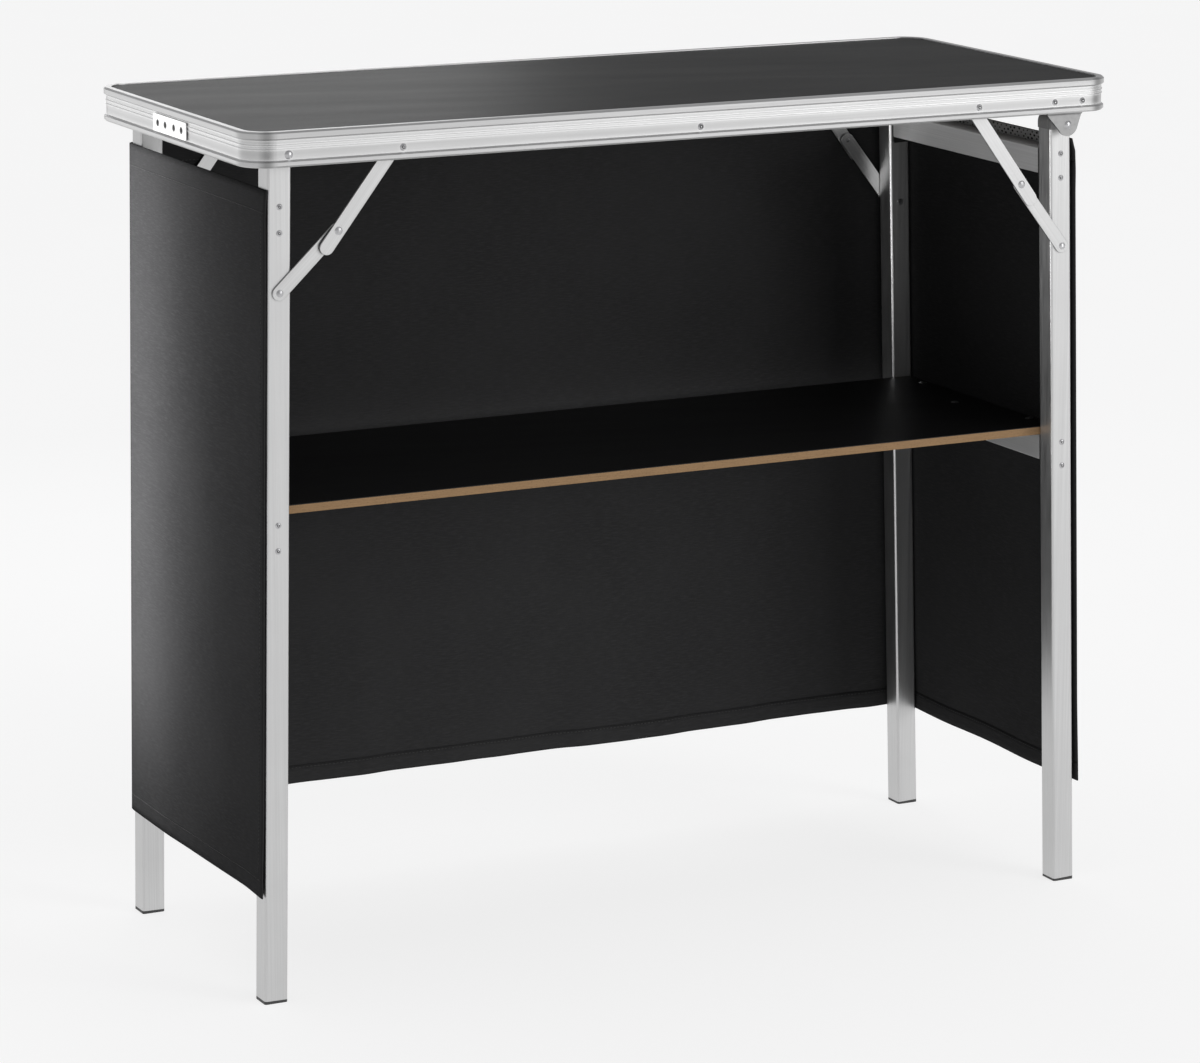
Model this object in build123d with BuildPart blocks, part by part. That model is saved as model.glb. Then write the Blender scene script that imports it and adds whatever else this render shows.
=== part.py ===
from build123d import *
from math import asin, atan2, cos, degrees, hypot, radians, sin
import os

# Folding counter: a framed table top, two folding leg frames with two-link
# braces, a lift-out storage shelf and a fabric skirt round three sides.
# Millimetres. +X runs along the counter, +Z is up, and the origin is on the
# floor under the middle of the top. The side towards -Y is open, and the skirt
# closes the two ends and the side towards +Y.

# ---- driving dimensions ------------------------------------------------------
top_length = 990.0
top_depth = 410.0
top_height = 889.0
top_corner_radius = 31.0

rim_height = 35.0
rim_lip = 8.0            # width of the lip over the laminate
rim_recess = 2.5         # how far the long groove is set in from the beads
rim_inner_face = 4.5     # depth of the wall's inner face from the outside
rim_rivet_drop = 23.0    # every rivet through the rim stands this far below the top
rim_ledge = 8.5          # depth of the ledge under the board

laminate_thickness = 0.8
board_thickness = 5.2
lip_thickness = 1.0

leg_size = 25.0
leg_wall = 1.5
leg_corner = 2.5
leg_outer_y = 180.0      # outer faces of the legs, front and rear
leg_splay = {"left": 1.0, "right": 2.0}             # degrees outward when open
pivot_x = {"left": 451.5, "right": 444.0}           # out from the middle
pivot_drop = {"left": rim_rivet_drop, "right": rim_rivet_drop + leg_size + 1.0}
tube_top_drop = 6.0      # the tube ends this far below its pivot
plug_stem = 16.0
foot_flange = 3.0
foot_stem = 20.0

rail_height = 28.0
rail_depth = 20.0
rail_wall = 1.5
rail_plug_length = 18.0
rail_flange = 4.0        # thickness of the end fittings between rail and leg
rail_rise = 3.0          # how far a rail's middle stands above that of its two rivets
top_rivets_z = {"left": 799.0, "right": 794.5}      # middle of the upper cross rails' rivets
shelf_rivets_z = 481.5                              # middle of the lower cross rails' rivets

link_width = 15.0
link_thickness = 1.8
link_tail = 20.0         # how far the upper link runs past the knuckle
brace_on_leg = {"left": 139.0, "right": 131.5}      # leg pivot to lower brace pivot
brace_on_rim = {"left": 121.5, "right": 115.0}      # leg pivot to upper brace pivot, level
brace_bend = {"left": 9.0, "right": 1.5}            # degrees left in the open knuckle

shelf_length = 928.0
shelf_depth = 307.0
shelf_board_thickness = 8.2
shelf_pin_x = 457.0
shelf_pin_y = 112.0
shelf_cleat_x = 431.0

skirt_top_z = {"left": 829.0, "right": 823.0}
skirt_bottom_z = 112.0
skirt_thickness = 1.2
skirt_gap = 0.8          # between the legs' outer faces and the cloth

# ---- fits --------------------------------------------------------------------
running = 0.05           # radial play of every pivot
link_gap = 0.3           # between a leg and the link beside it
pivot_radius = 3.0
brace_pivot_radius = 2.5
rail_rivet_radius = 2.4
rail_rivet_spacing = 26.0
rail_bore = 3.0          # depth of the rivets' blind bores in the end fittings
plate_rivet_spacing = 34.0
plate_offset = -5.0      # of a hinge plate's rivets from the pivot below them

# ---- places worked out from them ---------------------------------------------
side_sign = {"left": -1, "right": 1}
end_sign = {"front": -1, "rear": 1}
splay = {side: radians(angle) for side, angle in leg_splay.items()}
laminate_top_z = top_height - lip_thickness
board_top_z = laminate_top_z - laminate_thickness
board_bottom_z = board_top_z - board_thickness
rim_bottom_z = top_height - rim_height
rim_rivet_z = top_height - rim_rivet_drop
pivot_z = {side: top_height - drop for side, drop in pivot_drop.items()}
rim_wall_y = top_depth / 2 - rim_inner_face
groove_y = top_depth / 2 - rim_recess
leg_y = leg_outer_y - leg_size / 2
leg_inner_y = leg_outer_y - leg_size
lower_link_y = leg_outer_y + link_gap
upper_link_y = lower_link_y + 2 * link_thickness + 0.1
brace_top_y = upper_link_y + link_thickness
plate_y = rim_wall_y - 8.0   # inner face of the hinge plates where the pivot is
plate_thickness = 2.0
plate_wall_gap = 0.3
ledge_bottom_z = board_bottom_z - 1.2
stay_thickness = 1.5
stay_width = 30.0
rail_top_z = shelf_rivets_z + rail_rise + rail_height / 2
rail_tilt_rise = rail_depth / 2 * sin(max(splay.values()))
shelf_bottom_z = rail_top_z + rail_tilt_rise
skirt_back_y = brace_top_y + 2.7

os.makedirs("parts", exist_ok=True)


def save(builder, node):
    """Label one finished sub-part and write it."""
    builder.part.label = node
    export_step(builder.part, f"parts/{node}.step")


def leg_plane(side, drop=0.0):
    """Plane across a leg frame: its Z runs up the legs from the pivot, its X across them."""
    s = side_sign[side]
    across, along = cos(splay[side]), sin(splay[side])
    pivot = Plane(
        origin=(s * pivot_x[side], 0, pivot_z[side]),
        x_dir=(across, 0, s * along),
        z_dir=(-s * along, 0, across),
    )
    return pivot.offset(-drop)


def leg_drop(side, z):
    """Distance down a leg from its pivot to the height z."""
    return (pivot_z[side] - z) / cos(splay[side])


def upright_plane(side, y, end="front"):
    """Plane facing out of the front or rear, with its Y up the splayed legs."""
    e = end_sign[end]
    across = leg_plane(side).x_dir
    return Plane(
        origin=(side_sign[side] * pivot_x[side], e * y, pivot_z[side]),
        x_dir=across * -e,
        z_dir=(0, e, 0),
    )


def facing_plane(x, y, z, end):
    """Plane at a point, facing out of the front or rear."""
    return Plane(origin=(x, end_sign[end] * y, z), x_dir=(-end_sign[end], 0, 0), z_dir=(0, end_sign[end], 0))


def link_lengths(side):
    """Lower and upper link lengths: they close when open and lie flat with the folded leg."""
    on_leg, on_rim = brace_on_leg[side], brace_on_rim[side]
    lower_pivot = (-on_leg * sin(splay[side]), -on_leg * cos(splay[side]))
    rise = rim_rivet_z - pivot_z[side]
    span = hypot(on_rim - lower_pivot[0], rise - lower_pivot[1])
    bend = cos(radians(brace_bend[side]))
    short, long = 0.0, span
    for _ in range(60):
        lower = (short + long) / 2
        upper = hypot(lower + on_leg - on_rim, rise)
        if lower**2 + upper**2 + 2 * lower * upper * bend < span**2:
            short = lower
        else:
            long = lower
    return lower, upper


def brace_pivots(side):
    """World X and Z of the lower pivot, the knuckle and the upper pivot of a brace."""
    lower, upper = link_lengths(side)
    on_leg = brace_on_leg[side]
    leg_point = (-on_leg * sin(splay[side]), -on_leg * cos(splay[side]))
    rim_point = (brace_on_rim[side], rim_rivet_z - pivot_z[side])
    dx, dz = rim_point[0] - leg_point[0], rim_point[1] - leg_point[1]
    sag = asin(upper * sin(radians(brace_bend[side])) / hypot(dx, dz))
    angle = atan2(dz, dx) - sag
    knuckle = (leg_point[0] + lower * cos(angle), leg_point[1] + lower * sin(angle))
    s = side_sign[side]
    return [(s * (pivot_x[side] - p), pivot_z[side] + z) for p, z in (leg_point, knuckle, rim_point)]


def rivet(radius, grip, head_radius, head_height, tail_radius=None, tail_height=1.0):
    """A domed rivet down -Z from its seat at z = 0, with an optional closed end."""
    tail_radius = tail_radius or radius
    ball = (head_radius**2 + head_height**2) / (2 * head_height)
    half = asin(head_radius / ball) / 2
    crown = (ball * sin(half), head_height - ball + ball * cos(half))
    with BuildPart() as shape:
        with BuildSketch(Plane.XZ):
            with BuildLine():
                ThreePointArc((0, head_height), crown, (head_radius, 0))
                if tail_radius > radius:
                    Polyline(
                        (head_radius, 0),
                        (radius, 0),
                        (radius, -grip),
                        (tail_radius, -grip),
                        (tail_radius * 0.8, -grip - tail_height),
                        (0, -grip - tail_height),
                        (0, head_height),
                    )
                else:
                    Polyline((head_radius, 0), (radius, 0), (radius, -grip), (0, -grip), (0, head_height))
            make_face()
        revolve(axis=Axis.Z)
    return shape.part


def place(shape, planes):
    """One sub-part made of the same shape set on several planes."""
    with BuildPart() as group:
        with Locations(*[plane.location for plane in planes]):
            add(shape)
    return group


# ---- table top ---------------------------------------------------------------
board_size = (top_length - 2 * rim_inner_face, top_depth - 2 * rim_inner_face)
board_corner = top_corner_radius - rim_inner_face

with BuildPart() as top_board:
    with BuildSketch(Plane.XY.offset(board_bottom_z)):
        RectangleRounded(*board_size, board_corner)
    extrude(amount=board_thickness)
save(top_board, "top_board")

with BuildPart() as top_laminate:
    with BuildSketch(Plane.XY.offset(board_top_z)):
        RectangleRounded(*board_size, board_corner)
    extrude(amount=laminate_thickness)
save(top_laminate, "top_laminate")

# Rivets through both long walls of the rim, by their place along X.
brace_rim_x = {side: brace_pivots(side)[2][0] for side in side_sign}
plate_x = pivot_x["right"] + plate_offset
plate_rivet_x = [plate_x - plate_rivet_spacing / 2, plate_x + plate_rivet_spacing / 2]
joint_rivet_y = [-31.5, -11.5, 11.5, 31.5]
joint_rivet_z = top_height - 18.5

with BuildPart() as top_rim:
    half_length, half_depth = top_length / 2, top_depth / 2
    with BuildLine(Plane.XY.offset(top_height)) as rim_path:
        straight_x, straight_y = half_length - top_corner_radius, half_depth - top_corner_radius
        Line((-half_length, 0), (-half_length, -straight_y))
        RadiusArc((-half_length, -straight_y), (-straight_x, -half_depth), -top_corner_radius)
        Line((-straight_x, -half_depth), (straight_x, -half_depth))
        RadiusArc((straight_x, -half_depth), (half_length, -straight_y), -top_corner_radius)
        Line((half_length, -straight_y), (half_length, straight_y))
        RadiusArc((half_length, straight_y), (straight_x, half_depth), -top_corner_radius)
        Line((straight_x, half_depth), (-straight_x, half_depth))
        RadiusArc((-straight_x, half_depth), (-half_length, straight_y), -top_corner_radius)
        Line((-half_length, straight_y), (-half_length, 0))
    with BuildSketch(Plane(origin=(-half_length, 0, top_height), x_dir=(1, 0, 0), z_dir=(0, -1, 0))) as section:
        with BuildLine():
            slot_bottom = board_bottom_z - top_height
            groove_top, groove_bottom, bead = -8.5, -28.0, 1.8
            Polyline(
                (0, -bead),
                (0, groove_top + bead),
                (rim_recess, groove_top),
                (rim_recess, groove_bottom),
                (0, groove_bottom - bead),
                (0, bead - rim_height),
                (bead, -rim_height),
                (rim_inner_face, -rim_height),
                (rim_inner_face, slot_bottom - 1.2),
                (rim_ledge, slot_bottom - 1.2),
                (rim_ledge, slot_bottom),
                (rim_inner_face, slot_bottom),
                (rim_inner_face, -lip_thickness),
                (rim_lip, -lip_thickness),
                (rim_lip, 0),
                (bead, 0),
                (0, -bead),
            )
        make_face()
        outside = section.vertices().filter_by(lambda v: v.X < bead + 0.1 - half_length)
        fillet(outside, 0.7)
        with Locations((rim_recess - 0.35, -13.0), (rim_recess - 0.35, -17.0)):
            Rectangle(0.8, 0.9)
    sweep(path=rim_path.line)
    with BuildSketch(Plane.XZ):
        with Locations(*[(x, rim_rivet_z) for x in (0.0, *plate_rivet_x, *brace_rim_x.values())]):
            Circle(brace_pivot_radius)
        with Locations((-pivot_x["left"], rim_rivet_z)):
            Circle(pivot_radius)
    extrude(amount=half_depth, both=True, mode=Mode.SUBTRACT)
    with BuildSketch(Plane.YZ.offset(-half_length)):
        with Locations(*[(y, joint_rivet_z) for y in joint_rivet_y]):
            Circle(rail_rivet_radius)
    extrude(amount=rim_inner_face + 1, mode=Mode.SUBTRACT)
save(top_rim, "top_rim")

# Cover plate over the seam of the rim, in the groove at the left end.
joint_plate_depth = rim_recess - 0.8
with BuildPart() as rim_joint_plate:
    with BuildSketch(Plane.YZ.offset(-half_length + joint_plate_depth)):
        with Locations((0, joint_rivet_z)):
            RectangleRounded(88, 18, 1.5)
        with Locations(*[(y, joint_rivet_z) for y in joint_rivet_y]):
            Circle(rail_rivet_radius, mode=Mode.SUBTRACT)
    extrude(amount=-0.9)
save(rim_joint_plate, "rim_joint_plate")

joint_seat_x = -half_length + joint_plate_depth - 0.9
joint_rivet = rivet(rail_rivet_radius, rim_inner_face - joint_plate_depth + 0.9, 3.6, 0.7, 3.6, 0.8)
joint_planes = [Plane(origin=(joint_seat_x, y, joint_rivet_z), z_dir=(-1, 0, 0)) for y in joint_rivet_y]
save(place(joint_rivet, joint_planes), "rim_joint_rivets")

# Strap that ties the two long sides of the rim together under the board.
stay_side_y = rim_wall_y - stay_thickness / 2
stay_top_z = ledge_bottom_z - stay_thickness / 2
with BuildPart() as cross_stay:
    with BuildSketch(Plane.YZ.offset(-stay_width / 2)):
        with BuildLine() as stay_line:
            Polyline(
                (-stay_side_y, rim_rivet_z - 7),
                (-stay_side_y, stay_top_z),
                (stay_side_y, stay_top_z),
                (stay_side_y, rim_rivet_z - 7),
            )
        trace(line_width=stay_thickness)
    extrude(amount=stay_width)
    with BuildSketch(Plane.XZ):
        with Locations((0, rim_rivet_z)):
            Circle(brace_pivot_radius)
    extrude(amount=half_depth, both=True, mode=Mode.SUBTRACT)
save(cross_stay, "cross_stay")


# ---- hinges between the top and the leg frames -------------------------------
def ring(outer, inner, length):
    """A spacer down -Z from z = 0."""
    with BuildPart() as shape:
        Cylinder(outer, length, align=(Align.CENTER, Align.CENTER, Align.MAX))
        Cylinder(inner, length, align=(Align.CENTER, Align.CENTER, Align.MAX), mode=Mode.SUBTRACT)
    return shape.part


def hinge_plate(end):
    """Joggled plate under the rim that carries the lower of the two leg pivots."""
    wall_y = rim_wall_y - plate_wall_gap - plate_thickness / 2
    low_y = plate_y + plate_thickness / 2
    side_width = plate_rivet_spacing + 9
    middle = -end_sign[end] * plate_offset
    near, far = middle - side_width / 2, middle + side_width / 2
    plate_top = rim_rivet_z - pivot_z["right"] + 6
    with BuildPart() as plate:
        with BuildSketch(facing_plane(pivot_x["right"], plate_y - 1, pivot_z["right"], end)):
            with BuildLine():
                Polyline(
                    (near, plate_top),
                    (near, 12),
                    (-11, -5),
                    (11, -5),
                    (far, 12),
                    (far, plate_top),
                    close=True,
                )
            make_face()
            Circle(12)
        extrude(amount=10)
        with BuildSketch(Plane.YZ.offset(plate_x - side_width / 2)):
            with BuildLine():
                Polyline(
                    (end_sign[end] * wall_y, rim_rivet_z + 6),
                    (end_sign[end] * wall_y, rim_bottom_z + 3),
                    (end_sign[end] * low_y, rim_bottom_z - 3),
                    (end_sign[end] * low_y, pivot_z["right"] - 12),
                )
            trace(line_width=plate_thickness)
        extrude(amount=side_width, mode=Mode.INTERSECT)
        with BuildSketch(Plane.XZ):
            with Locations(*[(x, rim_rivet_z) for x in plate_rivet_x]):
                Circle(brace_pivot_radius)
            with Locations((pivot_x["right"], pivot_z["right"])):
                Circle(pivot_radius)
        extrude(amount=half_depth, both=True, mode=Mode.SUBTRACT)
    return plate


for end in end_sign:
    save(hinge_plate(end), f"right_hinge_plate_{end}")

# Short rivets through the rim: one at each end of the strap, two in each hinge plate.
stay_grip = groove_y - rim_wall_y + stay_thickness
plate_grip = groove_y - rim_wall_y + plate_wall_gap + plate_thickness
with BuildPart() as rim_rivets:
    with Locations(*[facing_plane(0, groove_y, rim_rivet_z, end).location for end in end_sign]):
        add(rivet(brace_pivot_radius, stay_grip, 3.4, 1.5, 4.0))
    plate_seats = [facing_plane(x, groove_y, rim_rivet_z, end) for x in plate_rivet_x for end in end_sign]
    with Locations(*[seat.location for seat in plate_seats]):
        add(rivet(brace_pivot_radius, plate_grip, 3.4, 1.5, 4.0))
save(rim_rivets, "rim_rivets")

# Each leg turns on one long rivet, held off the rim or the plate by a spacer.
pivot_inner_y = leg_inner_y - 0.1
spacer_inner_y = leg_outer_y + 0.2
pivot_seats = {"left": groove_y, "right": plate_y + plate_thickness}
spacer_seats = {"left": rim_wall_y, "right": plate_y}
for side, s in side_sign.items():
    shape = rivet(pivot_radius, pivot_seats[side] - pivot_inner_y, 4.4, 1.6, 5.0, 1.2)
    planes = [facing_plane(s * pivot_x[side], pivot_seats[side], pivot_z[side], end) for end in end_sign]
    save(place(shape, planes), f"{side}_pivot_rivets")
    shape = ring(7.0, pivot_radius, spacer_seats[side] - spacer_inner_y)
    planes = [facing_plane(s * pivot_x[side], spacer_seats[side], pivot_z[side], end) for end in end_sign]
    save(place(shape, planes), f"{side}_pivot_spacers")


# ---- leg frames --------------------------------------------------------------
leg_bottom = {side: leg_drop(side, 0) for side in side_sign}


def rail_rivet_drops(side, z):
    """How far down the leg the two rivets of a cross rail stand."""
    middle = leg_drop(side, z)
    return [middle - rail_rivet_spacing / 2, middle + rail_rivet_spacing / 2]


def leg_tube(side, end):
    """Square tube with its rivet and brace pivot holes."""
    tube_bottom = leg_bottom[side] - foot_flange
    drops = rail_rivet_drops(side, top_rivets_z[side]) + rail_rivet_drops(side, shelf_rivets_z)
    with BuildPart() as tube:
        with BuildSketch(leg_plane(side, tube_bottom)):
            with Locations((0, end_sign[end] * leg_y)):
                RectangleRounded(leg_size, leg_size, leg_corner)
                RectangleRounded(leg_size - 2 * leg_wall, leg_size - 2 * leg_wall, 1.0, mode=Mode.SUBTRACT)
        extrude(amount=tube_bottom - tube_top_drop)
        with BuildSketch(upright_plane(side, leg_outer_y, end)):
            with Locations(*[(0, -drop) for drop in drops]):
                Circle(rail_rivet_radius)
            with Locations((0, -brace_on_leg[side])):
                Circle(brace_pivot_radius)
        extrude(amount=-leg_size, mode=Mode.SUBTRACT)
    return tube


def leg_top_plug(side, end):
    """Round-headed plug in the top of a leg, with the pivot hole through its head."""
    stem = leg_size - 2 * leg_wall
    with BuildPart() as plug:
        with BuildSketch(upright_plane(side, leg_outer_y, end)):
            Circle(leg_size / 2)
            Rectangle(leg_size, leg_size, align=(Align.CENTER, Align.MAX))
            with Locations((0, -tube_top_drop)):
                Rectangle(leg_size, leg_size, align=(Align.CENTER, Align.MAX), mode=Mode.SUBTRACT)
        extrude(amount=-leg_size)
        with BuildSketch(leg_plane(side, tube_top_drop + plug_stem)):
            with Locations((0, end_sign[end] * leg_y)):
                RectangleRounded(stem, stem, 1.0)
        extrude(amount=plug_stem)
        with BuildSketch(upright_plane(side, leg_outer_y, end)):
            Circle(pivot_radius + running)
        extrude(amount=-leg_size, mode=Mode.SUBTRACT)
    return plug


def foot(side, end):
    """Plastic foot: a stem inside the tube and a sole cut level with the floor."""
    stem = leg_size - 2 * leg_wall
    with BuildPart() as cap:
        with BuildSketch(leg_plane(side, leg_bottom[side] + 1)):
            with Locations((0, end_sign[end] * leg_y)):
                RectangleRounded(leg_size, leg_size, leg_corner)
        extrude(amount=foot_flange + 1)
        with BuildSketch(leg_plane(side, leg_bottom[side] - foot_flange)):
            with Locations((0, end_sign[end] * leg_y)):
                RectangleRounded(stem, stem, 1.0)
        extrude(amount=foot_stem)
        split(bisect_by=Plane.XY, keep=Keep.TOP)
    return cap


def rail_section(side, z):
    """Plane across a rail, square to Y, at its middle height, from the height of its rivets."""
    return Plane(
        origin=leg_plane(side, leg_drop(side, z) - rail_rise).origin,
        x_dir=leg_plane(side).x_dir,
        z_dir=(0, -1, 0),
    )


def cross_rail(side, z, has_pins):
    """Hollow rail between the front and rear leg."""
    with BuildPart() as rail:
        with BuildSketch(rail_section(side, z)):
            RectangleRounded(rail_depth, rail_height, 2.0)
            RectangleRounded(rail_depth - 2 * rail_wall, rail_height - 2 * rail_wall, 1.0, mode=Mode.SUBTRACT)
        extrude(amount=leg_inner_y - rail_flange, both=True)
        if has_pins:
            with BuildSketch(Plane.XY.offset(z)):
                with Locations(*[(side_sign[side] * shelf_pin_x, y) for y in (-shelf_pin_y, shelf_pin_y)]):
                    Circle(3.4)
            extrude(amount=rail_height, mode=Mode.SUBTRACT)
    return rail


def rail_plugs(side):
    """End fittings of a frame's two rails: a flange riveted to the leg, with a stem inside the rail."""
    flange_low = -rail_rise - rail_rivet_spacing / 2 - 4.5
    with BuildPart() as plugs:
        for z in (top_rivets_z[side], shelf_rivets_z):
            section = rail_section(side, z)
            with BuildSketch(section):
                with Locations((0, (rail_height / 2 + flange_low) / 2)):
                    RectangleRounded(rail_depth, rail_height / 2 - flange_low, 2.0)
            extrude(amount=leg_inner_y, both=True)
            with BuildSketch(section):
                Rectangle(2 * rail_depth, 4 * rail_height)
                RectangleRounded(rail_depth - 2 * rail_wall, rail_height - 2 * rail_wall, 1.0, mode=Mode.SUBTRACT)
            extrude(amount=leg_inner_y - rail_flange, both=True, mode=Mode.SUBTRACT)
            for e in end_sign.values():
                with BuildSketch(section.offset(-e * leg_inner_y)):
                    with Locations(*[(0, k * rail_rivet_spacing / 2 - rail_rise) for k in (-1, 1)]):
                        Circle(rail_rivet_radius)
                extrude(amount=e * rail_bore, mode=Mode.SUBTRACT)
        Box(
            2 * top_length,
            2 * (leg_inner_y - rail_plug_length),
            2 * top_height,
            mode=Mode.SUBTRACT,
        )
    return plugs


for side, s in side_sign.items():
    for end in end_sign:
        save(leg_tube(side, end), f"{side}_leg_{end}")
        save(leg_top_plug(side, end), f"{side}_leg_plug_{end}")
        save(foot(side, end), f"{side}_foot_{end}")
    save(cross_rail(side, top_rivets_z[side], False), f"{side}_top_rail")
    save(cross_rail(side, shelf_rivets_z, True), f"{side}_shelf_rail")
    save(rail_plugs(side), f"{side}_rail_plugs")

    drops = rail_rivet_drops(side, top_rivets_z[side]) + rail_rivet_drops(side, shelf_rivets_z)
    rail_rivet = rivet(rail_rivet_radius, leg_size + rail_bore, 3.2, 1.1)
    planes = [
        Plane(upright_plane(side, leg_outer_y, end).location * Location((0, -drop, 0)))
        for end in end_sign
        for drop in drops
    ]
    save(place(rail_rivet, planes), f"{side}_rail_rivets")

    brace_rivet_grip = lower_link_y + link_thickness - leg_inner_y
    brace_rivet = rivet(brace_pivot_radius, brace_rivet_grip, 3.8, 1.2, 3.8)
    planes = [
        Plane(
            upright_plane(side, lower_link_y + link_thickness, end).location
            * Location((0, -brace_on_leg[side], 0))
        )
        for end in end_sign
    ]
    save(place(brace_rivet, planes), f"{side}_brace_rivets")

    # Hook tape on the outer face of the upper rail, which holds the skirt.
    with BuildPart() as hook_tape:
        with BuildSketch(rail_section(side, top_rivets_z[side])):
            with Locations((s * (rail_depth / 2 + 0.6), 0)):
                Rectangle(1.2, 22)
        extrude(amount=leg_inner_y - 10, both=True)
    save(hook_tape, f"{side}_hook_tape")


# ---- braces ------------------------------------------------------------------
def link(start, finish, y, end, tail, start_hole, finish_hole):
    """Flat link from one pivot to another, with round ends and an optional tail past the second."""
    dx, dz = finish[0] - start[0], finish[1] - start[1]
    length = hypot(dx, dz)
    e = end_sign[end]
    plane = Plane(origin=(start[0], e * y, start[1]), x_dir=(dx, 0, dz), z_dir=(0, e, 0))
    with BuildPart() as strip:
        with BuildSketch(plane):
            with Locations(((length + tail) / 2, 0)):
                SlotCenterToCenter(length + tail, link_width)
            with Locations((0, 0)):
                Circle(start_hole, mode=Mode.SUBTRACT)
            with Locations((length, 0)):
                Circle(finish_hole, mode=Mode.SUBTRACT)
        extrude(amount=link_thickness)
        edges_out = strip.faces().sort_by(Axis.Y)[-1 if e > 0 else 0].outer_wire().edges()
        chamfer(edges_out, 0.35)
    return strip


for side in side_sign:
    leg_point, knuckle, rim_point = brace_pivots(side)
    for end, e in end_sign.items():
        loose = brace_pivot_radius + running
        lower = link(leg_point, knuckle, lower_link_y, end, 0, loose, brace_pivot_radius)
        save(lower, f"{side}_lower_link_{end}")
        upper = link(rim_point, knuckle, upper_link_y, end, link_tail, loose, brace_pivot_radius)
        save(upper, f"{side}_upper_link_{end}")
        # The knuckle's domed head and washer go with the upper link.
        with BuildPart() as knuckle_rivet:
            with Locations(facing_plane(knuckle[0], brace_top_y, knuckle[1], end).location):
                add(rivet(brace_pivot_radius, link_thickness, 4.2, 1.3, 5.0, 1.5))
        save(knuckle_rivet, f"{side}_knuckle_rivet_{end}")

brace_seats = [
    facing_plane(x, groove_y, rim_rivet_z, end) for x in brace_rim_x.values() for end in end_sign
]
brace_rivet = rivet(brace_pivot_radius, groove_y - upper_link_y + 0.1, 3.6, 1.5, 4.2, 0.9)
save(place(brace_rivet, brace_seats), "brace_rim_rivets")
spacer_planes = [
    facing_plane(x, rim_wall_y, rim_rivet_z, end) for x in brace_rim_x.values() for end in end_sign
]
brace_spacer = ring(5.5, brace_pivot_radius, rim_wall_y - brace_top_y - 0.1)
save(place(brace_spacer, spacer_planes), "brace_rim_spacers")

# ---- storage shelf -----------------------------------------------------------
shelf_pins_at = [(s * shelf_pin_x, y) for s in (-1, 1) for y in (-shelf_pin_y, shelf_pin_y)]
shelf_screws_at = [(-shelf_cleat_x, 0), (shelf_cleat_x, 0)]
shelf_top_z = shelf_bottom_z + shelf_board_thickness + laminate_thickness

with BuildPart() as shelf_board:
    with BuildSketch(Plane.XY.offset(shelf_bottom_z)):
        Rectangle(shelf_length, shelf_depth)
        with Locations(*shelf_pins_at, *shelf_screws_at):
            Circle(3.0, mode=Mode.SUBTRACT)
    extrude(amount=shelf_board_thickness)
save(shelf_board, "shelf_board")

with BuildPart() as shelf_laminate:
    with BuildSketch(Plane.XY.offset(shelf_top_z - laminate_thickness)):
        Rectangle(shelf_length, shelf_depth)
        with Locations(*shelf_pins_at, *shelf_screws_at):
            Circle(3.0, mode=Mode.SUBTRACT)
    extrude(amount=laminate_thickness)
save(shelf_laminate, "shelf_laminate")

shelf_pin = rivet(3.0, shelf_top_z - shelf_bottom_z + 7, 4.6, 1.6)
pin_planes = [Plane(origin=(x, y, shelf_top_z)) for x, y in shelf_pins_at]
save(place(shelf_pin, pin_planes), "shelf_pins")

cleat_height = 14.0
shelf_screw = rivet(3.0, shelf_top_z - shelf_bottom_z + cleat_height - 4, 4.6, 1.4)
screw_planes = [Plane(origin=(x, y, shelf_top_z)) for x, y in shelf_screws_at]
save(place(shelf_screw, screw_planes), "shelf_screws")

with BuildPart() as shelf_cleats:
    with Locations(*[(x, y, shelf_bottom_z) for x, y in shelf_screws_at]):
        Box(12, 190, cleat_height, align=(Align.CENTER, Align.CENTER, Align.MAX))
        Hole(3.0, cleat_height - 4)
save(shelf_cleats, "shelf_cleats")


# ---- skirt -------------------------------------------------------------------
def skirt_inner_x(side, z):
    """How far out the inner face of an end panel stands at the height z."""
    level = leg_size / 2 + skirt_gap + (pivot_z[side] - z) * sin(splay[side])
    return pivot_x[side] + level / cos(splay[side])


skirt_front_y = -leg_outer_y - 1.0
for side, s in side_sign.items():
    with BuildPart() as skirt_end:
        with BuildSketch(Plane.XZ.offset(-skirt_front_y)):
            with BuildLine():
                top_z = skirt_top_z[side]
                high, low = skirt_inner_x(side, top_z), skirt_inner_x(side, skirt_bottom_z)
                Polyline(
                    (s * high, top_z),
                    (s * (high + skirt_thickness), top_z),
                    (s * (low + skirt_thickness), skirt_bottom_z),
                    (s * low, skirt_bottom_z),
                    close=True,
                )
            make_face()
        extrude(amount=-(skirt_back_y - skirt_front_y))
    save(skirt_end, f"skirt_{side}")

with BuildPart() as skirt_back:
    with BuildSketch(Plane.XZ.offset(-skirt_back_y)):
        with BuildLine():
            Polyline(
                (-skirt_inner_x("left", skirt_top_z["left"]) - skirt_thickness, skirt_top_z["left"]),
                (skirt_inner_x("right", skirt_top_z["right"]) + skirt_thickness, skirt_top_z["right"]),
                (skirt_inner_x("right", skirt_bottom_z) + skirt_thickness, skirt_bottom_z),
                (-skirt_inner_x("left", skirt_bottom_z) - skirt_thickness, skirt_bottom_z),
                close=True,
            )
        make_face()
    extrude(amount=-skirt_thickness)
save(skirt_back, "skirt_back")

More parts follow.
